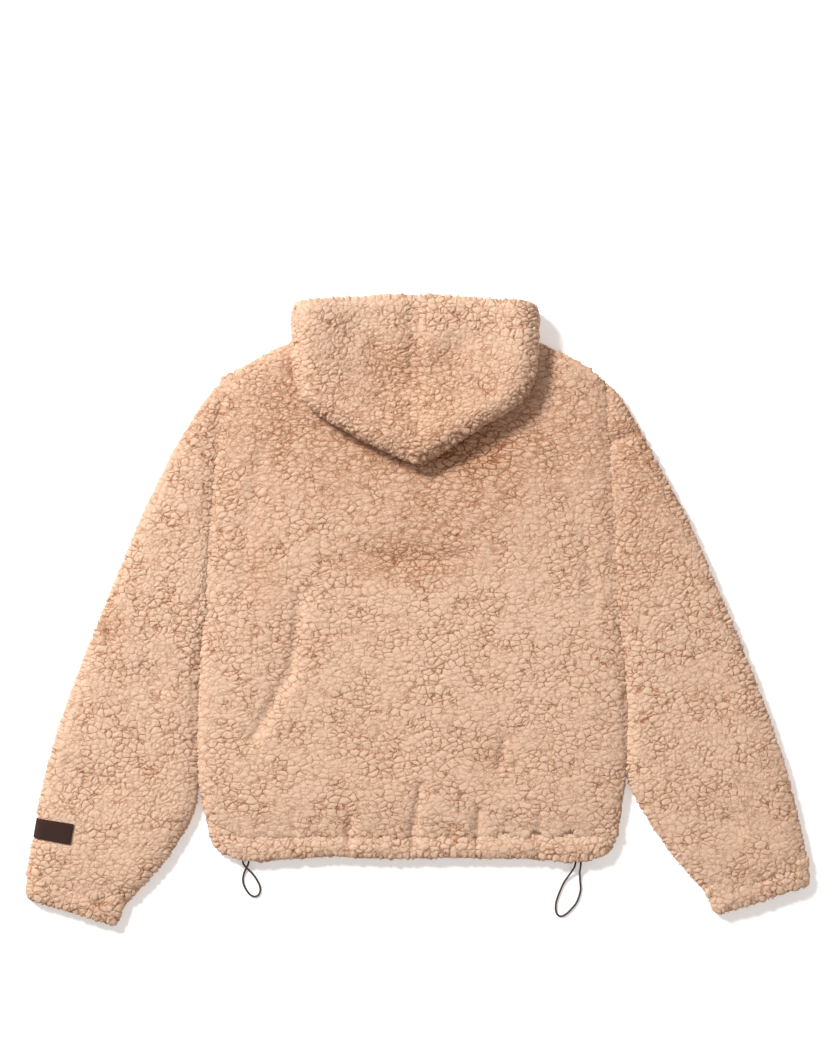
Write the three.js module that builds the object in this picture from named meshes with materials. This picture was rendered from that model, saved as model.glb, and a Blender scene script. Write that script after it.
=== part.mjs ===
// Hooded sweatshirt of deep pile fleece, laid flat and face down, with its hood folded onto the back.
// Millimetres, +Z up: X runs across the garment, Y towards the hood, and z = 0 is the table.
// "Left" is the side at -X, which is the wearer's left.
import * as THREE from 'three';

// Driving dimensions
const wall = 7.5; // fleece with its pile
const seamGap = 0.3; // between two pieces that are sewn together
const seamPlane = 9; // height at which front and back meet along the sides
const edgeRadius = seamPlane - seamGap / 2; // how a doubled edge rounds over
const seamDip = 3; // how far the pile sinks at a seam that is sewn through
const sleeveHeight = 17.4; // two layers of a sleeve
const hemHeight = 17.8;
const hemSeamY = -287;
const shoulderY = 299;
const underarmY = 0;
const neckY = 366;
const neckHalfWidth = 100;
const armholeGap = 0.35;
const hoodSeamX = -3.5;
const hoodTopZ = 42; // outer face of the hood over its middle
const hoodEdgeRadius = 15;
const hoodRollZ = 9; // how much the padded edge of the hood stands above its middle
const hoodRollWidth = 38;
const hoodDents = {
  seam: { width: 7, depth: 2.5 },
  middle: { x: -20, y: 295, width: 40, depth: 2 },
};
const mouthSetback = { middle: 24, atEdge: 4, edgeX: 150 }; // how far the lower rim stands back
const underHood = { tipY: 178, tipSlope: 0.5, fadeY: 40, edgeX: 172, fadeX: 15 }; // plain cloth below it
const hoodRest = { clearance: 0.75, start: 26, run: 28, tableRun: 20 }; // how it comes down to the table
const bodySwell = { height: 2.4, run: 40 };
const sleeveSwell = { height: 2.2, share: 0.25, rows: 2 };
const seamRows = { armhole: 0.12, cuff: 0.16, width: 8 }; // how wide the seams sink
const cuffShape = { swell: 1.5, seamShare: 0.2 };
const hemShape = { swell: 2, seamShare: 0.25 };
const curl = { lead: 6, sideRun: 20, topRun: 12 }; // where a sewn edge turns into a rounded one
const shoulderBlend = { fromY: 60, run: 229 }; // where the rows turn towards the shoulder line
const patch = { inset: 41, clearance: 0.5, thickness: 1.2, fromRow: 9.5, toRow: 9.97 };
const cordRadius = 1.3;
const cordStep = 5.2; // two diameters

// Side edges of the body: straight along each armhole, then the side seam down to the hem band.
const bodyEdges = [
  { y: -287, left: -268, right: 257 },
  { y: -246, left: -278.5, right: 263.5 },
  { y: -194, left: -285, right: 269.5 },
  { y: -111, left: -283.5, right: 270.5 },
  { y: -41, left: -280.5, right: 265 },
  { y: 0, left: -276.6, right: 259.5 },
  { y: 299, left: -248.7, right: 237.5 },
];

// Shoulder seams and neck, along the top edge of front and back.
const topEdge = [
  { x: -248.7, y: 299 },
  { x: -217, y: 319 },
  { x: -182, y: 338.5 },
  { x: -160, y: 347.5 },
  { x: -130, y: 357.5 },
  { x: -100, y: 366 },
  { x: 100, y: 366 },
  { x: 125, y: 357.5 },
  { x: 150, y: 348 },
  { x: 173, y: 338.5 },
  { x: 211, y: 319 },
  { x: 237.5, y: 299 },
];

// Lower edge of the hem band, drawn in unevenly by the cord inside it.
const hemEdge = [
  { x: -256, y: -311 },
  { x: -243, y: -320 },
  { x: -227, y: -324 },
  { x: -158, y: -324 },
  { x: -124, y: -319 },
  { x: -95, y: -319.5 },
  { x: -72, y: -322.5 },
  { x: -10, y: -322.5 },
  { x: 42, y: -321 },
  { x: 107, y: -322.5 },
  { x: 140, y: -322 },
  { x: 174, y: -325 },
  { x: 207, y: -326.5 },
  { x: 231, y: -322.5 },
  { x: 246, y: -311 },
];

// Cross sections of the sleeves, from the armhole to the cuff seam: the outer fold and the inner one.
const sleeveSections = {
  left: [
    { outerX: -248.7, outerY: 299, innerX: -276.6, innerY: 0 },
    { outerX: -267, outerY: 278, innerX: -279.9, innerY: -12 },
    { outerX: -293, outerY: 240.5, innerX: -281.2, innerY: -26 },
    { outerX: -324.5, outerY: 183.5, innerX: -282.8, innerY: -44 },
    { outerX: -353, outerY: 125, innerX: -283.9, innerY: -66 },
    { outerX: -384.5, outerY: 51, innerX: -285.3, innerY: -96 },
    { outerX: -415.5, outerY: -23.5, innerX: -286.3, innerY: -135 },
    { outerX: -444, outerY: -97.5, innerX: -287.2, innerY: -178 },
    { outerX: -469, outerY: -170, innerX: -285.4, innerY: -221 },
    { outerX: -486.5, outerY: -236.5, innerX: -293.5, innerY: -265 },
    { outerX: -497.5, outerY: -295, innerX: -331, innerY: -326 },
    { outerX: -503.5, outerY: -338, innerX: -382, innerY: -379 },
  ],
  right: [
    { outerX: 237.5, outerY: 299, innerX: 259.5, innerY: 0 },
    { outerX: 256, outerY: 280, innerX: 263.3, innerY: -12 },
    { outerX: 280.5, outerY: 241.5, innerX: 265.4, innerY: -26 },
    { outerX: 311.5, outerY: 183.5, innerX: 267.6, innerY: -44 },
    { outerX: 344, outerY: 125, innerX: 269.6, innerY: -66 },
    { outerX: 374, outerY: 56, innerX: 271.9, innerY: -96 },
    { outerX: 407.5, outerY: -21, innerX: 273.1, innerY: -131 },
    { outerX: 437.5, outerY: -95, innerX: 272.9, innerY: -169 },
    { outerX: 463.5, outerY: -169, innerX: 271.9, innerY: -207 },
    { outerX: 483, outerY: -234, innerX: 290.5, innerY: -253.5 },
    { outerX: 496, outerY: -292.5, innerX: 331, innerY: -313 },
    { outerX: 502.5, outerY: -326, innerX: 376, innerY: -363.5 },
  ],
};

// Lower edges of the cuffs.
const cuffEnds = {
  left: { outerX: -507, outerY: -374, innerX: -391, innerY: -410 },
  right: { outerX: 507, outerY: -357, innerX: 387.5, innerY: -395.5 },
};

// The hood from its rim to the tip: each row runs from the middle seam out to the folded edge.
const hoodRows = {
  left: [
    { seamY: 410, edgeX: -157.5, edgeY: 401 },
    { seamY: 399, edgeX: -160, edgeY: 392 },
    { seamY: 389, edgeX: -160.5, edgeY: 384 },
    { seamY: 379, edgeX: -160.5, edgeY: 376.5 },
    { seamY: 371.5, edgeX: -160.5, edgeY: 371 },
    { seamY: 366.9, edgeX: -160.3, edgeY: 366.9 },
    { seamY: 366, edgeX: -160.3, edgeY: 366 },
    { seamY: 359, edgeX: -160, edgeY: 358.5 },
    { seamY: 352, edgeX: -160, edgeY: 351 },
    { seamY: 345, edgeX: -159.8, edgeY: 343 },
    { seamY: 337, edgeX: -159.5, edgeY: 334 },
    { seamY: 324, edgeX: -158.5, edgeY: 318 },
    { seamY: 308, edgeX: -155.5, edgeY: 298 },
    { seamY: 294, edgeX: -150, edgeY: 279 },
    { seamY: 282, edgeX: -139, edgeY: 265 },
    { seamY: 272, edgeX: -122.5, edgeY: 253 },
    { seamY: 262, edgeX: -98, edgeY: 238.5 },
    { seamY: 254, edgeX: -73, edgeY: 224.5 },
    { seamY: 248, edgeX: -50, edgeY: 212.5 },
    { seamY: 244, edgeX: -30, edgeY: 203.5 },
    { seamY: 241, edgeX: -15, edgeY: 197 },
    { seamY: 239, edgeX: hoodSeamX, edgeY: 194 },
  ],
  right: [
    { seamY: 410, edgeX: 151, edgeY: 399 },
    { seamY: 399, edgeX: 153.5, edgeY: 391 },
    { seamY: 389, edgeX: 154, edgeY: 383.5 },
    { seamY: 379, edgeX: 154, edgeY: 376.5 },
    { seamY: 371.5, edgeX: 154, edgeY: 371 },
    { seamY: 366.9, edgeX: 154, edgeY: 366.9 },
    { seamY: 366, edgeX: 154, edgeY: 366 },
    { seamY: 359, edgeX: 154, edgeY: 358.5 },
    { seamY: 352, edgeX: 154, edgeY: 351 },
    { seamY: 345, edgeX: 153.5, edgeY: 343 },
    { seamY: 337, edgeX: 153, edgeY: 333 },
    { seamY: 324, edgeX: 151.5, edgeY: 317 },
    { seamY: 308, edgeX: 148, edgeY: 298 },
    { seamY: 294, edgeX: 141.5, edgeY: 281.5 },
    { seamY: 282, edgeX: 127, edgeY: 267 },
    { seamY: 272, edgeX: 107, edgeY: 255 },
    { seamY: 262, edgeX: 82, edgeY: 240.5 },
    { seamY: 254, edgeX: 62, edgeY: 227.5 },
    { seamY: 248, edgeX: 43, edgeY: 214 },
    { seamY: 244, edgeX: 27, edgeY: 203.5 },
    { seamY: 241, edgeX: 10, edgeY: 197 },
    { seamY: 239, edgeX: hoodSeamX, edgeY: 194 },
  ],
};

// Soft folds of the back and the sleeves, each a trough along a line.
const bodyFolds = [
  { fromX: -152, fromY: 20, toX: -163, toY: -77, width: 15, depth: 2.4 },
  { fromX: -163, fromY: -77, toX: -197, toY: -133, width: 17, depth: 3 },
  { fromX: -197, fromY: -133, toX: -214, toY: -172, width: 15, depth: 2.6 },
  { fromX: -110, fromY: 78, toX: -20, toY: 60, width: 18, depth: 2 },
  { fromX: 0, fromY: 72, toX: 70, toY: 50, width: 16, depth: 2 },
  { fromX: -190, fromY: 190, toX: -215, toY: 60, width: 26, depth: 1.6 },
  { fromX: 113, fromY: -165, toX: 103, toY: -212, width: 13, depth: 2.6 },
  { fromX: 165, fromY: 60, toX: 210, toY: -70, width: 24, depth: 1.5 },
  { fromX: -60, fromY: -120, toX: -30, toY: -200, width: 22, depth: 1.6 },
];
const sleeveFolds = [
  { fromX: -412, fromY: -8, toX: -392, toY: -42, width: 12, depth: 2.4 },
  { fromX: -352, fromY: -70, toX: -330, toY: -102, width: 13, depth: 2.2 },
  { fromX: -450, fromY: -205, toX: -390, toY: -232, width: 16, depth: 1.8 },
  { fromX: 252, fromY: 215, toX: 285, toY: 231, width: 10, depth: 2.6 },
  { fromX: 398, fromY: -268, toX: 422, toY: -284, width: 11, depth: 2.6 },
  { fromX: 360, fromY: -60, toX: 395, toY: -120, width: 16, depth: 1.8 },
];

// Gathers that the hem cord draws in, each reaching up from the hem seam into the back.
const hemGathers = [
  { x: -236, width: 9, depth: 1.8, reach: 26 },
  { x: -190, width: 11, depth: 1.6, reach: 34 },
  { x: -128, width: 10, depth: 2, reach: 30 },
  { x: -87, width: 9, depth: 3.2, reach: 36 },
  { x: -46, width: 10, depth: 1.6, reach: 28 },
  { x: -5, width: 9, depth: 3.2, reach: 48 },
  { x: 36, width: 10, depth: 1.8, reach: 30 },
  { x: 78, width: 9, depth: 3, reach: 40 },
  { x: 118, width: 10, depth: 1.8, reach: 32 },
  { x: 158, width: 9, depth: 2.4, reach: 34 },
  { x: 200, width: 10, depth: 2, reach: 28 },
  { x: 234, width: 8, depth: 1.8, reach: 24 },
];
const cuffGathers = [
  { share: 0.2, width: 0.06, depth: 1.6 },
  { share: 0.44, width: 0.07, depth: 2.4 },
  { share: 0.72, width: 0.06, depth: 1.8 },
];

// Loops of the hem cord, from one end inside the hem band to the other.
const cordRoutes = {
  left: [
    [-226.6, -318, 8.9],
    [-226.4, -327, 8.9],
    [-222.4, -333, 8.4],
    [-216.4, -339.4, 4.6],
    [-210.4, -347.8, 1.9],
    [-205.4, -357.6, 1.4],
    [-204.8, -364.6, 1.4],
    [-207.6, -370, 1.4],
    [-212.4, -371.6, 1.4],
    [-218, -369, 1.4],
    [-223, -362.6, 1.4],
    [-226.4, -355.4, 1.4],
    [-227.2, -348.4, 1.4],
    [-225.6, -340.6, 1.7],
    [-222.2, -333.4, 3.6],
    [-219.4, -327, 8.4],
    [-218.9, -318, 8.9],
  ],
  right: [
    [204.6, -320, 8.9],
    [203.9, -330, 8.8],
    [198.4, -340.6, 4.4],
    [190.2, -352.8, 1.7],
    [184.2, -366, 1.4],
    [179.8, -379, 1.4],
    [179.3, -389.2, 1.4],
    [181.6, -395.2, 1.4],
    [186.2, -397.2, 1.4],
    [192.8, -394.2, 1.4],
    [199.2, -388.2, 1.4],
    [205.6, -380.4, 1.4],
    [209.6, -371.2, 1.4],
    [211.6, -362, 1.4],
    [210.8, -350.4, 1.6],
    [210.4, -339, 4.2],
    [211.2, -330.4, 8.7],
    [211.4, -320, 8.9],
  ],
};

const mix = (from, to, share) => from + (to - from) * share;
const clamp = (value) => Math.min(Math.max(value, 0), 1);
const smooth = (share) => clamp(share) ** 2 * (3 - 2 * clamp(share));
const bell = (distance, width) => Math.exp(-((distance / width) ** 2));
const quarter = Math.PI / 2;

// One column of a table at a place along another column, straight between the rows.
function along(table, key, place, column) {
  const last = table.length - 1;
  let row = 0;
  while (row < last - 1 && place > table[row + 1][key]) row += 1;
  const from = table[row];
  const to = table[row + 1];
  return mix(from[column], to[column], clamp((place - from[key]) / (to[key] - from[key])));
}

// All columns of a table at a fractional row number, on a smooth curve through the rows.
function rowAt(table, place) {
  const row = Math.min(Math.floor(place), table.length - 2);
  const share = place - row;
  const before = table[Math.max(row - 1, 0)];
  const after = table[Math.min(row + 2, table.length - 1)];
  const blend = {};
  for (const column of Object.keys(table[row])) {
    const [from, to] = [table[row][column], table[row + 1][column]];
    const [leave, arrive] = [(to - before[column]) / 2, (after[column] - from) / 2];
    const bend = share * (1 - share) * ((1 - share) * (leave - to + from) - share * (arrive - to + from));
    blend[column] = mix(from, to, share) + bend;
  }
  return blend;
}

// Depth of a set of folds at a point: the nearest place on each line counts.
function foldDepth(folds, x, y) {
  let depth = 0;
  for (const fold of folds) {
    const runX = fold.toX - fold.fromX;
    const runY = fold.toY - fold.fromY;
    const share = clamp(((x - fold.fromX) * runX + (y - fold.fromY) * runY) / (runX ** 2 + runY ** 2));
    const gap = Math.hypot(x - fold.fromX - share * runX, y - fold.fromY - share * runY);
    depth += fold.depth * bell(gap, fold.width);
  }
  return depth;
}

function gatherDepth(x, y) {
  let depth = 0;
  for (const gather of hemGathers) {
    depth += gather.depth * bell(x - gather.x, gather.width) * bell(y - hemSeamY, gather.reach);
  }
  return depth;
}

// A wall of cloth as one closed solid. point(column, row, depth) gives a place on the outer face at
// depth 0 and on the inner face at the wall's thickness. Open edges get a flat end between the two.
function clothWall({ columns, rows, point, thickness = wall, tube = false, open = () => false }) {
  const across = tube ? columns : columns + 1;
  const count = across * (rows + 1);
  const positions = [];
  for (const depth of [0, thickness]) {
    for (let row = 0; row <= rows; row += 1) {
      for (let column = 0; column < across; column += 1) positions.push(...point(column, row, depth));
    }
  }
  const outer = [];
  for (let row = 0; row < rows; row += 1) {
    for (let column = 0; column < columns; column += 1) {
      if (open(column, row)) continue;
      const next = (column + 1) % across;
      const [a, b] = [row * across + column, row * across + next];
      outer.push([a, b, b + across], [a, b + across, a + across]);
    }
  }
  const edges = new Set();
  for (const [a, b, c] of outer) {
    edges.add(`${a} ${b}`).add(`${b} ${c}`).add(`${c} ${a}`);
  }
  const faces = [...outer];
  for (const [a, b, c] of outer) faces.push([c + count, b + count, a + count]);
  for (const edge of edges) {
    const [a, b] = edge.split(' ').map(Number);
    if (!edges.has(`${b} ${a}`)) faces.push([b, a, a + count], [b, a + count, b + count]);
  }
  return solidFrom(positions, faces);
}

// A closed mesh from points and triangles, with its faces turned outwards.
function solidFrom(positions, faces) {
  const corner = (index) => new THREE.Vector3().fromArray(positions, index * 3);
  let volume = 0;
  for (const [a, b, c] of faces) volume += corner(a).dot(corner(b).cross(corner(c)));
  const geometry = new THREE.BufferGeometry();
  geometry.setAttribute('position', new THREE.Float32BufferAttribute(positions, 3));
  geometry.setIndex(faces.flatMap(([a, b, c]) => (volume > 0 ? [a, b, c] : [a, c, b])));
  geometry.computeVertexNormals();
  return geometry;
}

// How far the hood reaches over the back here, where the cloth under it lies plain.
function clearOfHood(x, y) {
  const below = clamp((underHood.tipY + underHood.tipSlope * Math.abs(x) - y) / underHood.fadeY);
  const beside = clamp((Math.abs(x) - underHood.edgeX) / underHood.fadeX);
  return Math.max(below, beside);
}

// Front or back: side edges round over below the underarms, and shoulders round over beside the neck.
function bodyPanel({ side, mainColumns, armholeRows, sideRows, edgeCells, relief }) {
  const columns = mainColumns + 2 * edgeCells;
  const rows = armholeRows + sideRows + edgeCells;
  const level = seamPlane + (side * seamGap) / 2;
  const point = (column, row, depth) => {
    const surface = 1 - depth / wall;
    const fromEdge = Math.min(column, columns - column);
    const turnU = Math.min(fromEdge / edgeCells, 1) * quarter;
    const turnV = Math.min(row / edgeCells, 1) * quarter;
    const armholeShare = clamp((row - edgeCells) / armholeRows);
    const sideShare = clamp((row - edgeCells - armholeRows) / sideRows);
    const armholeY = mix(shoulderY - edgeRadius, underarmY, armholeShare);
    const edgeY = row < edgeCells ? shoulderY : mix(armholeY, hemSeamY, sideShare);
    const left = along(bodyEdges, 'y', edgeY, 'left');
    const right = along(bodyEdges, 'y', edgeY, 'right');
    const curlU = smooth((underarmY + curl.lead - edgeY) / curl.sideRun);
    const insetU = edgeRadius * (1 - Math.cos(turnU)) + curlU * depth * Math.cos(turnU);
    const acrossShare = (column - edgeCells) / mainColumns;
    let x = mix(left + edgeRadius, right - edgeRadius, acrossShare);
    if (column < edgeCells) x = left + insetU;
    if (column > columns - edgeCells) x = right - insetU;
    const curlV = smooth((Math.abs(x) - neckHalfWidth + curl.lead) / curl.topRun);
    const insetV = edgeRadius * (1 - Math.cos(turnV)) + curlV * depth * Math.cos(turnV);
    const rise = (along(topEdge, 'x', x, 'y') - shoulderY) * smooth((edgeY - shoulderBlend.fromY) / shoulderBlend.run);
    const y = rise + (row < edgeCells ? shoulderY - insetV : edgeY);
    const roundU = 1 - curlU * (1 - Math.sin(turnU));
    const roundV = 1 - curlV * (1 - Math.sin(turnV));
    const seams = seamDip * ((1 - curlU) * (1 - Math.sin(turnU)) + bell(edgeY - hemSeamY, seamRows.width));
    const height = (edgeRadius - depth) * roundU * roundV + relief(x, y, seams) * surface * roundU * roundV;
    return [x, y, level + side * height];
  };
  return clothWall({ columns, rows, point });
}

function backPanel() {
  const relief = (x, y, seams) => {
    const left = x - along(bodyEdges, 'y', y, 'left');
    const right = along(bodyEdges, 'y', y, 'right') - x;
    const swell = bodySwell.height * smooth((Math.min(left, right) - edgeRadius) / bodySwell.run);
    return clearOfHood(x, y) * (swell - foldDepth(bodyFolds, x, y) - gatherDepth(x, y)) - seams;
  };
  return bodyPanel({ side: 1, mainColumns: 24, armholeRows: 12, sideRows: 12, edgeCells: 4, relief });
}

function frontPanel() {
  return bodyPanel({ side: -1, mainColumns: 6, armholeRows: 4, sideRows: 7, edgeCells: 4, relief: () => 0 });
}

// A flattened ring round two layers of cloth, by station: top, outer fold, underside, inner fold.
function flatRing({ station, topCells, foldCells, underCells, halfWidth, height, depth }) {
  const radius = height / 2;
  const run = halfWidth - radius;
  const inner = radius - depth;
  if (station <= topCells) return { across: mix(run, -run, station / topCells), z: height - depth };
  const afterTop = station - topCells;
  if (afterTop < foldCells) {
    const turn = quarter + (afterTop / foldCells) * Math.PI;
    return { across: -run + inner * Math.cos(turn), z: radius + inner * Math.sin(turn) };
  }
  const afterFold = afterTop - foldCells;
  if (afterFold <= underCells) return { across: mix(-run, run, afterFold / underCells), z: depth };
  const turn = -quarter + ((afterFold - underCells) / foldCells) * Math.PI;
  return { across: run + inner * Math.cos(turn), z: radius + inner * Math.sin(turn) };
}

const sleeveRing = { topCells: 9, foldCells: 6, underCells: 4 };
const ringStations = (ring) => ring.topCells + ring.underCells + 2 * ring.foldCells;

// A place on a sleeve or cuff: sections is its table, place a row number and station a ring number.
function tubePoint({ sections, place, station, depth, height, relief }) {
  const { outerX, outerY, innerX, innerY } = rowAt(sections, place);
  const halfWidth = Math.hypot(innerX - outerX, innerY - outerY) / 2;
  const ring = flatRing({ ...sleeveRing, station, halfWidth, height, depth });
  const share = 0.5 + ring.across / (2 * halfWidth);
  const x = mix(outerX, innerX, share);
  const y = mix(outerY, innerY, share);
  const onTop = smooth((ring.z + depth - height / 2) / (height / 2));
  return [x, y, ring.z + relief(x, y, share, place) * onTop * (1 - depth / wall)];
}

// The armhole section, moved out of the body's edge by the seam's gap.
function sleeveTable(side) {
  const away = side === 'left' ? -armholeGap : armholeGap;
  const [armhole, ...others] = sleeveSections[side];
  const moved = { ...armhole, outerX: armhole.outerX + away, innerX: armhole.innerX + away };
  return [moved, ...others];
}

function sleeveRelief(x, y, share, place) {
  const { height, share: edge, rows } = sleeveSwell;
  const swell = height * smooth(Math.min(share, 1 - share) / edge) * smooth(place / rows);
  const last = sleeveSections.left.length - 1;
  const ends = seamDip * (bell(place, seamRows.armhole) + bell(place - last, seamRows.cuff));
  return swell - foldDepth(sleeveFolds, x, y) - ends;
}

function sleeveSurface(side) {
  const sections = sleeveTable(side);
  const relief = sleeveRelief;
  return (place, station, depth) =>
    tubePoint({ sections, place, station, depth, height: sleeveHeight, relief });
}

function sleeve(side) {
  const surface = sleeveSurface(side);
  const rows = 2 * (sleeveSections[side].length - 1);
  const point = (column, row, depth) => surface(row / 2, column, depth);
  return clothWall({ columns: ringStations(sleeveRing), rows, point, tube: true });
}

function cuff(side) {
  const end = sleeveSections[side].at(-1);
  const low = cuffEnds[side];
  const step = Math.hypot(low.outerX - end.outerX, low.outerY - end.outerY);
  const start = (1.3 * seamGap) / step; // the sleeve's end is cut at a slant to the cuff
  const sections = [end, low];
  const relief = (x, y, share, place) => {
    let depth = seamDip * bell(place, cuffShape.seamShare);
    for (const gather of cuffGathers) depth += gather.depth * bell(share - gather.share, gather.width);
    return cuffShape.swell - depth;
  };
  const rows = 4;
  const point = (column, row, depth) => {
    const place = mix(start, 1, row / rows);
    return tubePoint({ sections, place, station: column, depth, height: sleeveHeight, relief });
  };
  return clothWall({ columns: ringStations(sleeveRing), rows, point, tube: true });
}

function hemBand() {
  const ring = { topCells: 42, foldCells: 6, underCells: 14 };
  const rows = 4;
  const top = bodyEdges[0];
  const low = { left: hemEdge[0].x, right: hemEdge.at(-1).x };
  const point = (column, row, depth) => {
    const share = row / rows;
    const left = mix(top.left, low.left, share ** 2);
    const right = mix(top.right, low.right, share ** 2);
    const halfWidth = (right - left) / 2;
    const { across, z } = flatRing({ ...ring, station: column, halfWidth, height: hemHeight, depth });
    const x = (left + right) / 2 + across;
    const y = mix(hemSeamY - seamGap, along(hemEdge, 'x', x, 'y'), share);
    const onTop = smooth((z + depth - hemHeight / 2) / (hemHeight / 2));
    const swell = hemShape.swell * Math.sin(share * Math.PI) - seamDip * bell(share, hemShape.seamShare);
    return [x, y, z + (swell - gatherDepth(x, y)) * onTop * (1 - depth / wall)];
  };
  return clothWall({ columns: ringStations(ring), rows, point, tube: true });
}

// Underside of the hood: over the back it lies on the cloth, and past the shoulders it lies on the table.
const hoodOnBack = seamPlane + edgeRadius + hoodRest.clearance;
function hoodUnderside(x, y) {
  const beyond = Math.abs(x) < neckHalfWidth && y > neckY + seamGap;
  const table = beyond ? smooth((neckHalfWidth - Math.abs(x)) / hoodRest.tableRun) : 0;
  const slope = smooth((along(topEdge, 'x', x, 'y') + hoodRest.start - y) / hoodRest.run);
  const over = Math.abs(x) < neckHalfWidth && !beyond ? 1 : slope;
  return hoodOnBack * over * (1 - table);
}

// One half of the hood, a flattened bag with its mouth towards +Y: outer face from the middle seam to the
// folded edge, round it, and back below to the seam. Below, it is open along the neck.
function hoodHalf(side) {
  const rowsTable = hoodRows[side];
  const upper = 7;
  const fold = 6;
  const under = [0.87, 0.74, 0.55, 0.36, 0.18, 0];
  const columns = upper + fold + under.length;
  const rows = rowsTable.length - 1;
  const seamX = hoodSeamX + (side === 'left' ? -seamGap / 2 : seamGap / 2);
  const neckRow = 5;
  const point = (column, row, depth) => {
    const { seamY, edgeX: givenX, edgeY } = rowsTable[row];
    const edgeX = row === rows ? seamX : givenX;
    const length = Math.hypot(edgeX - seamX, edgeY - seamY);
    const run = 1 - hoodEdgeRadius / length;
    const turn = quarter - clamp((column - upper) / fold) * Math.PI;
    let share = run * clamp(column / upper);
    if (column > upper + fold) share = run * under[column - upper - fold - 1];
    if (column > upper && column <= upper + fold) {
      share = 1 - (hoodEdgeRadius - (hoodEdgeRadius - depth) * Math.cos(turn)) / length;
    }
    const x = mix(seamX, edgeX, share);
    const neckSeamY = rowsTable[neckRow].seamY;
    const rimShare = clamp((seamY - neckSeamY) / (rowsTable[0].seamY - neckSeamY));
    const setback = mix(mouthSetback.middle, mouthSetback.atEdge, Math.abs(x) / mouthSetback.edgeX);
    const back = setback * rimShare * clamp((column - upper) / fold);
    const y = mix(seamY, edgeY, share) - back;
    const fromEdge = (1 - share) * length - hoodEdgeRadius;
    const roll = hoodRollZ * bell(Math.max(fromEdge, 0), hoodRollWidth);
    const { seam, middle } = hoodDents;
    const fromMiddle = Math.hypot(x - middle.x, y - middle.y);
    const dent = seam.depth * bell(x - hoodSeamX, seam.width) + middle.depth * bell(fromMiddle, middle.width);
    const top = hoodTopZ + roll;
    const bottom = hoodUnderside(x, y);
    const level = (top + bottom) / 2;
    const sunk = dent * smooth(Math.sin(turn)) * (1 - depth / wall);
    return [x, y, level + (level - bottom - depth) * Math.sin(turn) - sunk];
  };
  const open = (column, row) => row === neckRow && column >= upper + fold + 2;
  return clothWall({ columns, rows, point, open });
}

// The patch lies on the outer fold of the left sleeve, made from the sleeve's own points moved out.
function sleevePatch() {
  const surface = sleeveSurface('left');
  const foldStations = [3, 2, 1, 0].map((cells) => sleeveRing.topCells + cells);
  const insetCells = 5;
  const columns = foldStations.length - 1 + insetCells;
  const rows = 3;
  const point = (column, row, depth) => {
    const place = mix(patch.fromRow, patch.toRow, row / rows);
    const { outerX, outerY, innerX, innerY } = rowAt(sleeveSections.left, place);
    const run = Math.hypot(innerX - outerX, innerY - outerY) - sleeveHeight;
    const inset = Math.max(column - foldStations.length + 1, 0) * (patch.inset / insetCells) / run;
    const station = foldStations[column] ?? sleeveRing.topCells * (1 - inset);
    return surface(place, station, depth - patch.clearance - patch.thickness);
  };
  return clothWall({ columns, rows, point, thickness: patch.thickness });
}

function cord(side) {
  const points = cordRoutes[side].map((place) => new THREE.Vector3(...place));
  const path = new THREE.CatmullRomCurve3(points, false, 'centripetal');
  const section = new THREE.Shape();
  const sides = 8;
  for (let index = 0; index < sides; index += 1) {
    const turn = ((index + 0.5) / sides) * 2 * Math.PI;
    const [across, up] = [cordRadius * Math.cos(turn), cordRadius * Math.sin(turn)];
    if (index === 0) section.moveTo(across, up);
    else section.lineTo(across, up);
  }
  section.closePath();
  const steps = Math.round(path.getLength() / cordStep);
  return new THREE.ExtrudeGeometry(section, { steps, extrudePath: path, bevelEnabled: false });
}

const fleece = { color: '#E3B799', roughness: 0.95, metalness: 0 };
const suede = { color: '#46302A', roughness: 0.8, metalness: 0 };
const braid = { color: '#3B211C', roughness: 0.7, metalness: 0 };

const pieces = [
  { name: 'back', geometry: backPanel(), finish: fleece },
  { name: 'front', geometry: frontPanel(), finish: fleece },
  { name: 'sleeve_left', geometry: sleeve('left'), finish: fleece },
  { name: 'sleeve_right', geometry: sleeve('right'), finish: fleece },
  { name: 'cuff_left', geometry: cuff('left'), finish: fleece },
  { name: 'cuff_right', geometry: cuff('right'), finish: fleece },
  { name: 'hem_band', geometry: hemBand(), finish: fleece },
  { name: 'hood_left', geometry: hoodHalf('left'), finish: fleece },
  { name: 'hood_right', geometry: hoodHalf('right'), finish: fleece },
  { name: 'sleeve_patch', geometry: sleevePatch(), finish: suede },
  { name: 'cord_left', geometry: cord('left'), finish: braid },
  { name: 'cord_right', geometry: cord('right'), finish: braid },
];

const sweatshirt = new THREE.Group();
for (const { name, geometry, finish } of pieces) {
  const mesh = new THREE.Mesh(geometry, new THREE.MeshStandardMaterial(finish));
  mesh.name = name;
  sweatshirt.add(mesh);
}

export default sweatshirt;
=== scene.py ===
# Hooded pullover of deep pile fleece, lying flat and face down, seen from straight above.
import math

import bmesh
import bpy
import numpy as np
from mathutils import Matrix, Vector
from mathutils.bvhtree import BVHTree


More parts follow.
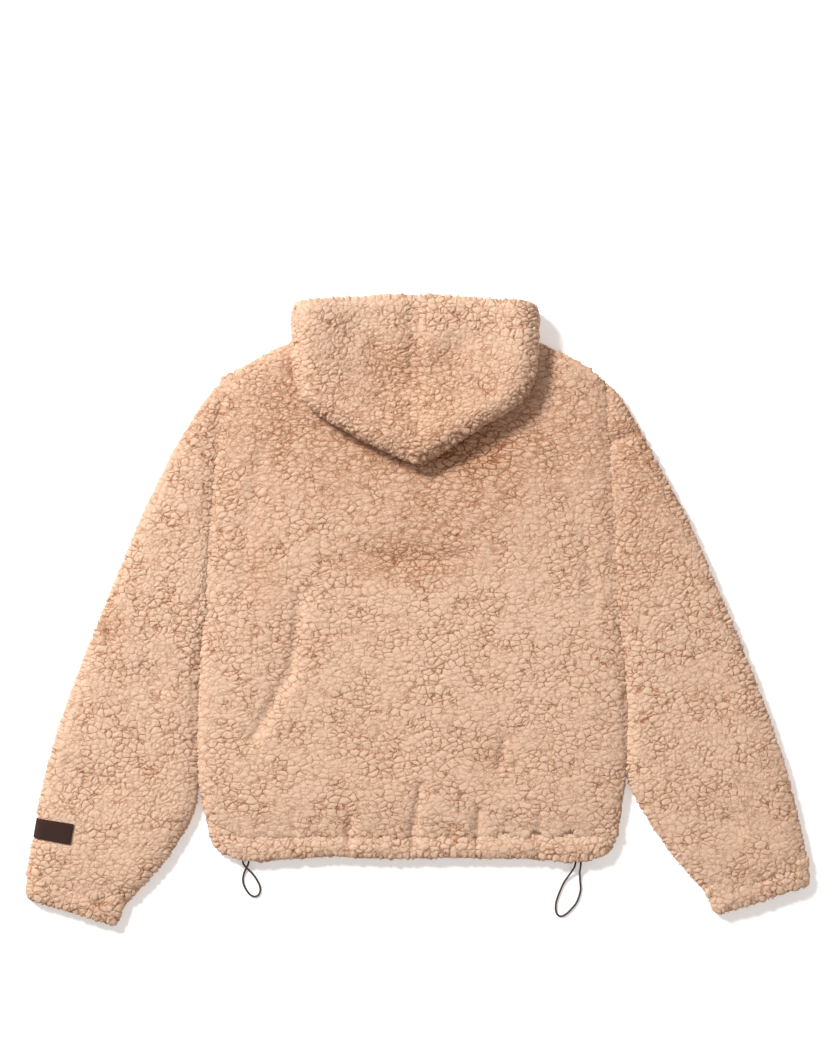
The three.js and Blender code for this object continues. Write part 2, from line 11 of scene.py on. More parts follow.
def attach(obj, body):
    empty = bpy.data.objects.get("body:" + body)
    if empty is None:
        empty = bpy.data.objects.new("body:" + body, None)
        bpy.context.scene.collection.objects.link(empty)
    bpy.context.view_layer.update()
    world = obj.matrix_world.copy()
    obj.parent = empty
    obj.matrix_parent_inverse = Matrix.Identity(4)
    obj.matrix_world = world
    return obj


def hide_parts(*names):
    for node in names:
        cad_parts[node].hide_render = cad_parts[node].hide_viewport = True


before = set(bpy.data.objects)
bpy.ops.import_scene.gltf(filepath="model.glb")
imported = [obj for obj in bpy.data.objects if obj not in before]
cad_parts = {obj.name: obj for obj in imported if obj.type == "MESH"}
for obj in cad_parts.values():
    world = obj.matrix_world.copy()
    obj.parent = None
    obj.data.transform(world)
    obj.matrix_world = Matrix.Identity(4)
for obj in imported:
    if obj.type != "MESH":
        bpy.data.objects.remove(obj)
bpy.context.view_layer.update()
mm = 0.001


def linear(hexColour):  # sRGB hex to the linear values that sockets take
    channels = [int(hexColour[place:place + 2], 16) / 255 for place in (1, 3, 5)]
    return [c / 12.92 if c <= 0.04045 else ((c + 0.055) / 1.055) ** 2.4 for c in channels] + [1.0]


def addNode(tree, kind, settings=None, inputs=None):  # a node with its settings, values and links
    node = tree.nodes.new(kind)
    for name, value in (settings or {}).items():
        setattr(node, name, value)
    for name, value in (inputs or {}).items():
        if isinstance(value, bpy.types.NodeSocket):
            tree.links.new(value, node.inputs[name])
        else:
            node.inputs[name].default_value = value
    return node


def mapped(tree, value, low, high, toLow=0.0, toHigh=1.0):  # smooth step between two limits
    return addNode(tree, "ShaderNodeMapRange", {"interpolation_type": "SMOOTHSTEP"}, {
        0: value, 1: low, 2: high, 3: toLow, 4: toHigh}).outputs[0]


def maths(tree, operation, *values):
    return addNode(tree, "ShaderNodeMath", {"operation": operation}, dict(enumerate(values))).outputs[0]


def blend(tree, share, first, second):  # from the first colour at 0 to the second at 1
    return addNode(tree, "ShaderNodeMix", {"data_type": "RGBA"}, {
        0: share, 6: first, 7: second}).outputs[2]


def noise(tree, position, size, detail=2.0, output=0):
    return addNode(tree, "ShaderNodeTexNoise", inputs={
        "Vector": position, "Scale": 1 / size, "Detail": detail}).outputs[output]


def wandered(tree, position, size, amount):  # shifts the position by a soft random amount
    centred = addNode(tree, "ShaderNodeVectorMath", {"operation": "SUBTRACT"}, {
        0: noise(tree, position, size, output=1), 1: (0.5, 0.5, 0.5)})
    return addNode(tree, "ShaderNodeVectorMath", {"operation": "MULTIPLY_ADD"}, {
        0: centred.outputs[0], 1: (amount, amount, amount), 2: position}).outputs[0]


def cells(tree, position, size, stretch):
    place = addNode(tree, "ShaderNodeVectorMath", {"operation": "MULTIPLY"}, {0: position, 1: stretch})
    return addNode(tree, "ShaderNodeTexVoronoi", {"feature": "DISTANCE_TO_EDGE"}, {
        "Vector": place.outputs[0], "Scale": 1 / size}).outputs["Distance"]


def newMaterial(name):
    material = bpy.data.materials.new(name)
    material.use_nodes = True
    material.node_tree.nodes.clear()
    return material, material.node_tree


def objectFrom(bm, name):
    mesh = bpy.data.meshes.new(name)
    bm.to_mesh(mesh)
    bm.free()
    piece = bpy.data.objects.new(name, mesh)
    bpy.context.collection.objects.link(piece)
    return piece


def finishPiece(piece, nodes):
    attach(piece, "root")
    if nodes:
        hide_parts(*nodes)


# Camera: straight above, far enough away that the sleeves and the hood keep one scale
view = {
    "height": 1352 * mm,  # of the table that the photo shows
    "centreX": -2.3 * mm,
    "centreY": 117.7 * mm,
    "distance": 3.2,
    "sensor": 36,  # of the image's long side, which is its height
    "farthest": 20,
}


def makeCamera():
    data = bpy.data.cameras.new("aboveCamera")
    data.sensor_width = view["sensor"]
    data.lens = data.sensor_width * view["distance"] / view["height"]
    data.clip_end = view["farthest"]
    camera = bpy.data.objects.new("aboveCamera", data)
    camera.location = (view["centreX"], view["centreY"], view["distance"])
    bpy.context.collection.objects.link(camera)
    bpy.context.scene.camera = camera
    print("camera ready")


# Loops of the hem cord: listed points, in metres, along the middle of the cord
cords = {
    "diameter": 2.6 * mm,
    "samples": 6,  # between two points
    "sides": 12,
    "yarns": 4.0,  # round the cord, each way
    "pitch": 1.6 * mm,  # from one yarn crossing to the next
    "relief": 0.25 * mm,
    "routes": {
        "left": [
            (-0.2266, -0.318, 0.0089), (-0.2264, -0.327, 0.0089), (-0.2224, -0.333, 0.0084),
            (-0.2164, -0.3394, 0.0046), (-0.2104, -0.3478, 0.0019), (-0.2054, -0.3576, 0.0014),
            (-0.2048, -0.3646, 0.0014), (-0.2076, -0.37, 0.0014), (-0.2124, -0.3716, 0.0014),
            (-0.218, -0.369, 0.0014), (-0.223, -0.3626, 0.0014), (-0.2264, -0.3554, 0.0014),
            (-0.2272, -0.3484, 0.0014), (-0.2256, -0.3406, 0.0017), (-0.2222, -0.3334, 0.0036),
            (-0.2194, -0.327, 0.0084), (-0.2189, -0.318, 0.0089),
        ],
        "right": [
            (0.2046, -0.32, 0.0089), (0.2039, -0.33, 0.0088), (0.1984, -0.3406, 0.0044),
            (0.1902, -0.3528, 0.0017), (0.1842, -0.366, 0.0014), (0.1798, -0.379, 0.0014),
            (0.1793, -0.3892, 0.0014), (0.1816, -0.3952, 0.0014), (0.1862, -0.3972, 0.0014),
            (0.1928, -0.3942, 0.0014), (0.1992, -0.3882, 0.0014), (0.2056, -0.3804, 0.0014),
            (0.2096, -0.3712, 0.0014), (0.2116, -0.362, 0.0014), (0.2108, -0.3504, 0.0016),
            (0.2104, -0.339, 0.0042), (0.2112, -0.3304, 0.0087), (0.2114, -0.32, 0.0089),
        ],
    },
}


def smoothPath(points, samples):  # a centripetal curve through the points
    ends = [2 * points[0] - points[1]] + points + [2 * points[-1] - points[-2]]
    path = []
    for before, start, end, after in zip(ends, ends[1:], ends[2:], ends[3:]):
        steps = [math.sqrt((b - a).length) for a, b in ((before, start), (start, end), (end, after))]
        middle = (end - start) / steps[1]
        leave = (start - before) / steps[0] - (end - before) / (steps[0] + steps[1]) + middle
        arrive = middle - (after - start) / (steps[1] + steps[2]) + (after - end) / steps[2]
        leave, arrive = leave * steps[1], arrive * steps[1]
        for index in range(samples):
            t = index / samples
            path.append(
                start * (2 * t**3 - 3 * t**2 + 1) + end * (3 * t**2 - 2 * t**3)
                + leave * (t**3 - 2 * t**2 + t) + arrive * (t**3 - t**2)
            )
    return path + [points[-1]]


def makeCord(side):
    path = smoothPath([Vector(point) for point in cords["routes"][side]], cords["samples"])
    sides, radius = cords["sides"], cords["diameter"] / 2
    bm = bmesh.new()
    braid = bm.verts.layers.float_vector.new("braid")
    ring = bmesh.ops.create_circle(bm, segments=sides, radius=radius, cap_ends=True)["verts"]
    heading = (path[1] - path[0]).normalized()
    turn = Vector((0, 0, 1)).rotation_difference(heading)
    for vertex in ring:
        angle = math.atan2(vertex.co.y, vertex.co.x)
        vertex.co = path[0] + turn @ vertex.co
        vertex[braid] = (math.cos(angle), math.sin(angle), 0)
    edges = list(bm.edges)
    travelled = 0
    for index in range(1, len(path)):
        nextHeading = (path[min(index + 1, len(path) - 1)] - path[index - 1]).normalized()
        bend = heading.rotation_difference(nextHeading)
        made = bmesh.ops.extrude_edge_only(bm, edges=edges)["geom"]
        newVerts = [part for part in made if isinstance(part, bmesh.types.BMVert)]
        travelled += (path[index] - path[index - 1]).length
        for vertex in newVerts:
            vertex.co = path[index] + bend @ (vertex.co - path[index - 1])
            vertex[braid] = (vertex[braid].x, vertex[braid].y, travelled)
        rim = set(newVerts)
        edges = [part for part in made if isinstance(part, bmesh.types.BMEdge)
                 and part.verts[0] in rim and part.verts[1] in rim]
        heading = nextHeading
    bmesh.ops.contextual_create(bm, geom=edges)
    bmesh.ops.recalc_face_normals(bm, faces=bm.faces)
    piece = objectFrom(bm, "hem_cord_" + side)
    piece.data.materials.append(braidedCord)
    for face in piece.data.polygons:
        face.use_smooth = len(face.vertices) == 4
    finishPiece(piece, ["cord_" + side])


# Braided polyester cord: fine crossing yarns give small raised diamonds and a soft gloss
def makeBraidedCord():
    material, tree = newMaterial("braidedPolyesterCord")
    place = addNode(tree, "ShaderNodeAttribute", {"attribute_name": "braid"})
    split = addNode(tree, "ShaderNodeSeparateXYZ", inputs={0: place.outputs["Vector"]})
    angle = maths(tree, "ARCTAN2", split.outputs[1], split.outputs[0])
    turned = maths(tree, "MULTIPLY", angle, cords["yarns"])
    along = maths(tree, "MULTIPLY", split.outputs[2], 2 * math.pi / cords["pitch"])
    ways = [maths(tree, "SINE", maths(tree, way, along, turned)) for way in ("ADD", "SUBTRACT")]
    weave = maths(tree, "MULTIPLY", *ways)
    ramp = addNode(tree, "ShaderNodeMapRange", inputs={0: weave, 1: -1.0, 2: 1.0}).outputs[0]
    # darker in the grooves between the raised diamonds: painted shade
    colour = blend(tree, ramp, linear("#241008"), linear("#43251A"))
    bump = addNode(tree, "ShaderNodeBump", inputs={
        "Strength": 0.6, "Distance": cords["relief"], "Height": ramp})
    shader = addNode(tree, "ShaderNodeBsdfPrincipled", inputs={
        "Base Color": colour, "Roughness": 0.55, "Normal": bump.outputs[0], "Sheen Weight": 0.15})
    addNode(tree, "ShaderNodeOutputMaterial", inputs={0: shader.outputs[0]})
    return material


# Fleece: curled pile in uneven clumps. The same pattern raises the mesh and colours the material, with
# painted shade in its cracks and hollows.
pile = {
    "clump": 8.7 * mm,
    "curl": 4.7 * mm,
    "clumpStretch": (0.84, 1.16, 1.0),
    "curlStretch": (1.0, 1.06, 1.0),
    "longStretch": (0.5, 1.35, 1.0),  # where the pile has parted
    "wander": (24 * mm, 9 * mm),  # size and reach of each step that makes the cracks uneven
    "fineWander": (4.5 * mm, 3.4 * mm),
    "fringe": (2.2 * mm, 1.5 * mm),
    "clumpSpread": 30 * mm,  # size of the areas where clumps, curls and whole cracks come and go
    "curlSpread": 13 * mm,
    "crackSpread": 6 * mm,
    "raise": 1.7 * mm,
    "sideRaise": 4.4 * mm,  # the pile stands out further where the cloth turns over
    "sink": 0.6,  # how much of the height lies below the cloth's own surface
    "fuzz": 1.7 * mm,
    "fuzzSize": 2.8 * mm,
    "sideFuzz": 1.5,
    "overlap": 2.4 * mm,  # of sewn edges, each way
    "sway": 1.7 * mm,
    "swayShort": 3.5 * mm,
    "swayLong": 11 * mm,
    "fade": 1.5 * mm,  # height over the table at which the pile is full
    "fibre": 2.0 * mm,
    "broad": 110 * mm,
    "relief": 1.8 * mm,
    "seamPlane": 9 * mm,  # where the back meets the front
    "onPlane": 0.4 * mm,
    "onTable": 0.3 * mm,
}


def clumpPattern(tree, position, partedPileAndShade):  # height of the pile, and how deep in a crack
    moved = position
    for step in ("wander", "fineWander", "fringe"):
        moved = wandered(tree, moved, *pile[step])
    clumps = cells(tree, moved, pile["clump"], pile["clumpStretch"])
    curls = cells(tree, moved, pile["curl"], pile["curlStretch"])
    long = cells(tree, moved, pile["clump"], pile["longStretch"])
    clumpMask = mapped(tree, noise(tree, position, pile["clumpSpread"]), 0.38, 0.6, 0.45, 1.0)
    curlMask = mapped(tree, noise(tree, position, pile["curlSpread"]), 0.4, 0.64, 0.1, 0.7)
    broken = mapped(tree, noise(tree, position, pile["crackSpread"]), 0.37, 0.6, 0.2, 1.0)
    clumpCrack = maths(tree, "MULTIPLY", mapped(tree, clumps, 0.015, 0.07, 1.0, 0.0), clumpMask)
    curlCrack = maths(tree, "MULTIPLY", mapped(tree, curls, 0.01, 0.09, 0.8, 0.0), curlMask)
    longCrack = maths(tree, "MULTIPLY", mapped(tree, long, 0.01, 0.075, 1.3, 0.0), partedPileAndShade)
    crack = maths(tree, "MULTIPLY", maths(tree, "MAXIMUM", clumpCrack, curlCrack), broken)
    crack = maths(tree, "MAXIMUM", crack, longCrack)
    clumpDome = maths(tree, "MULTIPLY", mapped(tree, clumps, 0.0, 0.2, -0.5, 0.0), clumpMask)
    curlDome = mapped(tree, curls, 0.0, 0.22, -0.3, 0.0)
    curlDome = maths(tree, "MULTIPLY", curlDome, maths(tree, "MAXIMUM", curlMask, 0.4))
    longDome = maths(tree, "MULTIPLY", mapped(tree, long, 0.0, 0.2, -0.6, 0.0), partedPileAndShade)
    height = maths(tree, "ADD", maths(tree, "ADD", clumpDome, curlDome), longDome)
    return maths(tree, "ADD", height, 1.0), crack


def makePileNodes():
    tree = bpy.data.node_groups.new("raisePile", "GeometryNodeTree")
    tree.interface.new_socket("Geometry", in_out="INPUT", socket_type="NodeSocketGeometry")
    tree.interface.new_socket("Geometry", in_out="OUTPUT", socket_type="NodeSocketGeometry")
    start = addNode(tree, "NodeGroupInput")
    position = addNode(tree, "GeometryNodeInputPosition").outputs[0]
    stored = addNode(tree, "GeometryNodeStoreNamedAttribute", {"data_type": "FLOAT_VECTOR"}, {
        "Geometry": start.outputs[0], "Name": "restPlace", "Value": position})
    partedPileAndShade, weight = (
        addNode(tree, "GeometryNodeInputNamedAttribute", {"data_type": "FLOAT"}, {"Name": name}).outputs[0]
        for name in ("partedPileAndShade", "pileWeight"))
    height, _ = clumpPattern(tree, position, partedPileAndShade)
    normal = addNode(tree, "GeometryNodeInputNormal").outputs[0]
    parts = addNode(tree, "ShaderNodeSeparateXYZ", inputs={0: normal})
    upright = maths(tree, "ABSOLUTE", parts.outputs[2])
    reach = addNode(tree, "ShaderNodeMapRange", inputs={
        0: upright, 1: 0.2, 2: 0.9, 3: pile["sideRaise"], 4: pile["raise"]}).outputs[0]
    lift = mapped(tree, upright, 0.3, 0.95, 1.0, 0.0)  # the pile stands out past the edges
    level = maths(tree, "ADD", maths(tree, "SUBTRACT", height, pile["sink"]), lift)
    amount = maths(tree, "MULTIPLY", maths(tree, "MULTIPLY", level, reach), weight)
    fuzz = maths(tree, "SUBTRACT", noise(tree, position, pile["fuzzSize"]), 0.5)
    fuzz = maths(tree, "MULTIPLY", fuzz, weight)
    fuzz = maths(tree, "MULTIPLY", fuzz, maths(tree, "MULTIPLY_ADD", lift, pile["sideFuzz"], 1.0))
    amount = maths(tree, "MULTIPLY_ADD", fuzz, 2 * pile["fuzz"], amount)
    offset = addNode(tree, "ShaderNodeVectorMath", {"operation": "SCALE"}, {0: normal, "Scale": amount})
    moved = addNode(tree, "GeometryNodeSetPosition", inputs={
        "Geometry": stored.outputs[0], "Offset": offset.outputs[0]})
    addNode(tree, "NodeGroupOutput", inputs={0: moved.outputs[0]})
    return tree


# Sherpa fleece, polyester pile knitted and brushed into curls: dull, with a soft bright rim
def makeFleece():
    material, tree = newMaterial("sherpaFleecePolyester")
    place = addNode(tree, "ShaderNodeAttribute", {"attribute_name": "restPlace"}).outputs["Vector"]
    partedPileAndShade = addNode(tree, "ShaderNodeAttribute", {"attribute_name": "partedPileAndShade"}).outputs["Fac"]
    height, crack = clumpPattern(tree, place, partedPileAndShade)
    fibre = addNode(tree, "ShaderNodeTexNoise", inputs={
        "Vector": place, "Scale": 1 / pile["fibre"], "Detail": 3.0, "Distortion": 1.4}).outputs[0]
    broad = noise(tree, place, pile["broad"], 3.0)
    # darker where the pile and its fibres lie lower, as in the bump: painted shade; the broad noise is the
    # pile's own uneven tone
    tone = maths(tree, "ADD", height, maths(tree, "MULTIPLY_ADD", fibre, 0.5, -0.25))
    tone = maths(tree, "ADD", tone, maths(tree, "MULTIPLY_ADD", broad, 0.3, -0.15))
    colour = blend(tree, mapped(tree, tone, 0.25, 1.05), linear("#CAA387"), linear("#DBBAA1"))
    # darker tint where the pile has parted and where the marks lie: painted shade, with the painted shadow
    # below the hood
    colour = blend(tree, maths(tree, "MULTIPLY", partedPileAndShade, 0.33), colour, linear("#B57F5D"))
    # painted shade in the cracks between the clumps
    colour = blend(tree, maths(tree, "MULTIPLY", crack, 0.9), colour, linear("#8C5433"))
    relief = maths(tree, "MULTIPLY_ADD", fibre, 0.4, maths(tree, "MULTIPLY_ADD", crack, -0.9, height))
    bump = addNode(tree, "ShaderNodeBump", inputs={
        "Strength": 0.42, "Distance": pile["relief"], "Height": relief})
    shader = addNode(tree, "ShaderNodeBsdfPrincipled", inputs={
        "Base Color": colour, "Roughness": 0.95, "Specular IOR Level": 0.1,
        "Normal": bump.outputs[0], "Sheen Weight": 0.2, "Sheen Roughness": 0.5,
        "Sheen Tint": linear("#F7DFCB")})
    addNode(tree, "ShaderNodeOutputMaterial", inputs={0: shader.outputs[0]})
    return material


# Each fleece piece: its node, the mesh grain where it shows and where it doesn't, and its cut.
# A cut is the flat piece that a maker lays out, all round on a tube: width, length and area.
fleecePieces = [
    {"node": "back", "grain": 2.1 * mm, "rough": 14 * mm,
     "flat": (0.56, 0.67), "area": 0.34, "restsOn": ["front"]},
    {"node": "front", "grain": 6 * mm, "rough": 16 * mm,
     "flat": (0.56, 0.67), "area": 0.34, "restsOn": []},
    {"node": "sleeve_left", "grain": 1.7 * mm, "rough": 10 * mm,
     "flat": (0.47, 0.69), "area": 0.17, "restsOn": []},
    {"node": "sleeve_right", "grain": 1.7 * mm, "rough": 10 * mm,
     "flat": (0.47, 0.69), "area": 0.17, "restsOn": []},
    {"node": "cuff_left", "grain": 1.7 * mm, "rough": 10 * mm,
     "flat": (0.26, 0.035), "area": 0.0085, "restsOn": []},
    {"node": "cuff_right", "grain": 1.7 * mm, "rough": 10 * mm,
     "flat": (0.26, 0.035), "area": 0.0085, "restsOn": []},
    {"node": "hem_band", "grain": 1.7 * mm, "rough": 10 * mm,
     "flat": (1.05, 0.036), "area": 0.037, "restsOn": []},
    {"node": "hood_left", "grain": 1.6 * mm, "rough": 8 * mm,
     "flat": (0.33, 0.25), "area": 0.06, "restsOn": ["back"]},
    {"node": "hood_right", "grain": 1.6 * mm, "rough": 8 * mm,
     "flat": (0.33, 0.25), "area": 0.06, "restsOn": ["back"]},
]


# Places where the pile has parted into longer, darker cracks, and places of painted shade; all of them tint
# the fleece darker
partedPileAndShadeMarks = [
    {"x": -16 * mm, "y": 66 * mm, "wide": 78 * mm, "high": 24 * mm, "strength": 0.75},
    {"x": 40 * mm, "y": 120 * mm, "wide": 90 * mm, "high": 40 * mm, "strength": 0.35},
    {"x": 0, "y": 240 * mm, "wide": 260 * mm, "high": 90 * mm, "strength": 0.7},
    # painted shadow of the hood's tip on the back
    {"x": 66 * mm, "y": 200 * mm, "wide": 60 * mm, "high": 34 * mm, "strength": 0.6},
    {"x": -200 * mm, "y": 60 * mm, "wide": 30 * mm, "high": 60 * mm, "strength": 0.3},
    # painted shade in the hood's sunken middle
    {"x": -16 * mm, "y": 318 * mm, "wide": 60 * mm, "high": 34 * mm, "strength": 0.8},
    {"x": -403 * mm, "y": -22 * mm, "wide": 22 * mm, "high": 26 * mm, "strength": 0.4},
    {"x": 300 * mm, "y": 150 * mm, "wide": 60 * mm, "high": 120 * mm, "strength": 0.3},
    {"x": 100 * mm, "y": -190 * mm, "wide": 30 * mm, "high": 30 * mm, "strength": 0.2},
]

# Soft troughs, each from one point to the next; negative depths are ridges
folds = [
    {"nodes": ["back"], "depth": 3.2 * mm, "width": 7 * mm,
     "line": [(-0.152, 0.02), (-0.1635, -0.077), (-0.18, -0.103), (-0.214, -0.168)]},
    {"nodes": ["back"], "depth": -1.6 * mm, "width": 13 * mm,
     "line": [(-0.131, 0.0), (-0.143, -0.08), (-0.162, -0.112), (-0.19, -0.165)]},
    {"nodes": ["back"], "depth": 3 * mm, "width": 6 * mm,
     "line": [(0.113, -0.165), (0.1062, -0.205)]},
    {"nodes": ["back"], "depth": 2 * mm, "width": 9 * mm,
     "line": [(-0.08, 0.075), (-0.01, 0.062), (0.06, 0.07)]},
    {"nodes": ["back"], "depth": 1.8 * mm, "width": 10 * mm,
     "line": [(0.18, 0.2), (0.215, 0.11), (0.225, 0.0)]},
    {"nodes": ["back"], "depth": 1.8 * mm, "width": 10 * mm,
     "line": [(-0.2, 0.21), (-0.222, 0.1), (-0.226, 0.02)]},
    {"nodes": ["back", "hem_band"], "depth": 4.2 * mm, "width": 5 * mm,
     "line": [(-0.086, -0.266), (-0.0885, -0.3)]},
    {"nodes": ["back", "hem_band"], "depth": 3.8 * mm, "width": 6 * mm,
     "line": [(0.004, -0.226), (-0.001, -0.248), (-0.0005, -0.262), (-0.007, -0.283), (-0.005, -0.305)]},
    {"nodes": ["back", "hem_band"], "depth": 4.2 * mm, "width": 5 * mm,
     "line": [(0.08, -0.258), (0.0765, -0.3)]},
    {"nodes": ["back", "hem_band"], "depth": 1.8 * mm, "width": 5 * mm,
     "line": [(0.158, -0.262), (0.157, -0.32)]},
    {"nodes": ["back", "hem_band"], "depth": 1.8 * mm, "width": 5 * mm,
     "line": [(-0.16, -0.262), (-0.158, -0.32)]},
    {"nodes": ["sleeve_left"], "depth": 3.2 * mm, "width": 6 * mm,
     "line": [(-0.413, -0.006), (-0.394, -0.038)]},
    {"nodes": ["sleeve_left"], "depth": 3 * mm, "width": 6 * mm,
     "line": [(-0.355, -0.071), (-0.329, -0.103)]},
    {"nodes": ["sleeve_left"], "depth": 2 * mm, "width": 9 * mm,
     "line": [(-0.455, -0.2), (-0.4, -0.228)]},
    {"nodes": ["sleeve_right"], "depth": 3.2 * mm, "width": 6 * mm,
     "line": [(0.25, 0.218), (0.284, 0.232)]},
    {"nodes": ["sleeve_right"], "depth": 3 * mm, "width": 6 * mm,
     "line": [(0.398, -0.268), (0.42, -0.284)]},
    {"nodes": ["sleeve_right"], "depth": 2 * mm, "width": 10 * mm,
     "line": [(0.36, -0.06), (0.395, -0.12)]},
    {"nodes": ["hood_left"], "depth": 5.5 * mm, "width": 26 * mm,
     "line": [(-0.08, 0.355), (-0.03, 0.3)]},
    {"nodes": ["hood_left"], "depth": 3 * mm, "width": 9 * mm,
     "line": [(-0.055, 0.342), (-0.018, 0.29)]},
    {"nodes": ["hood_left", "hood_right"], "depth": 2.6 * mm, "width": 12 * mm,
     "line": [(-0.0035, 0.38), (-0.0035, 0.285)]},
    {"nodes": ["hood_right"], "depth": 3.5 * mm, "width": 20 * mm,
     "line": [(0.02, 0.305), (0.06, 0.345)]},
]
foldLevels = {  # heights over which a fold fades in, so that the cloth below stays where it lies
    "hood": 28 * mm,
    "body": 11 * mm,
    "blend": 5 * mm,
    "hoodShare": 0.55,  # of the parted pile and its painted shade: the hood lies smoother than the back under it
}


def trough(place, line, width):  # how near each place is to a line, as a bell from 1 down to 0
    nearest = np.full(len(place), np.inf)
    for start, end in zip(line, line[1:]):
        start, run = np.array(start), np.array(end) - np.array(start)
        share = np.clip((place - start) @ run / (run @ run), 0, 1)
        nearest = np.minimum(nearest, np.linalg.norm(place - start - share[:, None] * run, axis=1))
    return np.exp(-((nearest / width) ** 2))


def shapeFolds(mesh, node):  # the upper face sinks or rises by the folds; the underside stays on the table
    count = len(mesh.vertices)
    place = np.empty(count * 3, dtype=np.float32)
    mesh.vertices.foreach_get("co", place)
    place = place.reshape(-1, 3)
    weight = np.empty(count, dtype=np.float32)
    mesh.attributes["pileWeight"].data.foreach_get("value", weight)
    isHood = node.startswith("hood")
    start = foldLevels["hood"] if isHood else foldLevels["body"]
    level = np.clip((place[:, 2] - start) / foldLevels["blend"], 0, 1)
    if not isHood:  # the hood's outer wall and its lining move together
        level = level * (weight > 0)
    for fold in folds:
        if node in fold["nodes"]:
            place[:, 2] -= fold["depth"] * level * trough(place[:, :2], fold["line"], fold["width"])
    mesh.vertices.foreach_set("co", place.ravel())
    partedPileAndShade = sum(
        mark["strength"] * np.exp(-((place[:, 0] - mark["x"]) / mark["wide"]) ** 2
                                  - ((place[:, 1] - mark["y"]) / mark["high"]) ** 2)
        for mark in partedPileAndShadeMarks)
    if isHood:
        partedPileAndShade = partedPileAndShade * foldLevels["hoodShare"]
    mesh.attributes.new("partedPileAndShade", "FLOAT", "POINT").data.foreach_set("value", partedPileAndShade)


# Finer and softer surface for the solids' own forms
surface = {
    "sizes": (10 * mm, 5 * mm),  # of the mesh before the piece's own grain
    "longest": 1.35,  # edge, of the wanted size
    "rounds": 4,
    "weld": 0.01 * mm,
    "clear": 0.3 * mm,
    "lookOut": 60 * mm,  # a face with cloth before it within this is inside
    "sewnNear": 1.2 * mm,
    "sewnTilt": 0.6,
    "underTilt": -0.5,
    "turned": 0.1,
    "shoulder": (220 * mm, 280 * mm),  # beyond this X and Y the armhole meets the shoulder seam
    "mouth": (20 * mm, 386 * mm),  # within this X, past this Y, the hood's middle seam meets its mouth
}
sewnKind = 3  # of faces; where kinds meet, the highest one decides the mesh
shownKind = 2
underKind = 1
insideKind = 0


def buildTree(node):
    bm = bmesh.new()
    bm.from_mesh(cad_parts[node].data)
    tree = BVHTree.FromBMesh(bm)
    bm.free()
    return tree


def sortFaces(bm, kind, others):  # sewn to another piece, shown, underside or inside
    tree = BVHTree.FromBMesh(bm)
    for face in bm.faces:
        centre = face.calc_center_median()
        before = tree.ray_cast(centre + face.normal * surface["clear"], face.normal, surface["lookOut"])[0]
        upright = abs(face.normal.z) < surface["sewnTilt"]
        if upright and any(other.find_nearest(centre, surface["sewnNear"])[0] for other in others):
            face[kind] = sewnKind
        elif before is not None:
            face[kind] = insideKind
        else:
            face[kind] = underKind if face.normal.z < surface["underTilt"] else shownKind


def splitLong(bm, kind, limits):  # halves the edges that are too long for the faces beside them
    for _ in range(surface["rounds"]):
        long = [edge for edge in bm.edges
                if edge.calc_length() > limits[max(face[kind] for face in edge.link_faces)]]
        if not long:
            break
        bmesh.ops.subdivide_edges(bm, edges=long, cuts=1, use_grid_fill=True)
        bmesh.ops.triangulate(bm, faces=[face for face in bm.faces if len(face.verts) > 4])


def atSeamEnd(place):
    shoulder, mouth = surface["shoulder"], surface["mouth"]
    atShoulder = abs(place.x) > shoulder[0] and place.y > shoulder[1]
    return atShoulder or (abs(place.x) < mouth[0] and place.y > mouth[1])


def isSewn(vertex, kind, node):
    if any(face[kind] == sewnKind for face in vertex.link_faces):
        return True
    return node in ("back", "front") and abs(vertex.co.z - pile["seamPlane"]) < pile["onPlane"]


def smooth(bm, verts, factor, alongX=True):
    bmesh.ops.smooth_vert(
        bm, verts=verts, factor=factor, use_axis_x=alongX, use_axis_y=True, use_axis_z=True)


def refine(bm, kind, piece):
    bmesh.ops.join_triangles(bm, faces=bm.faces, angle_face_threshold=0.8, angle_shape_threshold=1.2)
    for size in (*surface["sizes"], piece["grain"]):
        longest = size * surface["longest"]
        splitLong(bm, kind, (piece["rough"], piece["rough"], longest, longest))
        free, corners = [], []
        for vertex in bm.verts:
            if vertex.co.z <= pile["onTable"]:
                continue
            if not isSewn(vertex, kind, piece["node"]):
                free.append(vertex)
            elif atSeamEnd(vertex.co):
                corners.append(vertex)
        for _ in range(surface["rounds"]):
            smooth(bm, free, 0.5)
            smooth(bm, corners, 0.5, alongX=False)


def closeSeams(bm, kind):  # the sewn edges reach a little into each other, so no gap is left
    for vertex in bm.verts:
        away = sum((face.normal for face in vertex.link_faces if face[kind] == sewnKind), Vector())
        away.z = 0
        if away.length > surface["turned"]:
            along = vertex.co.x + vertex.co.y
            sway = math.sin(along / pile["swayShort"]) * math.sin(along / pile["swayLong"]) * pile["sway"]
            side = 1 if away.x + away.y > 0 else -1  # both pieces sway together, so the seam isn't straight
            vertex.co += away.normalized() * (pile["overlap"] + side * sway)


def keepAboveTable(mesh):
    place = np.empty(len(mesh.vertices) * 3, dtype=np.float32)
    mesh.vertices.foreach_get("co", place)
    place[2::3] = np.maximum(place[2::3], 0)
    mesh.vertices.foreach_set("co", place)
    mesh.update()


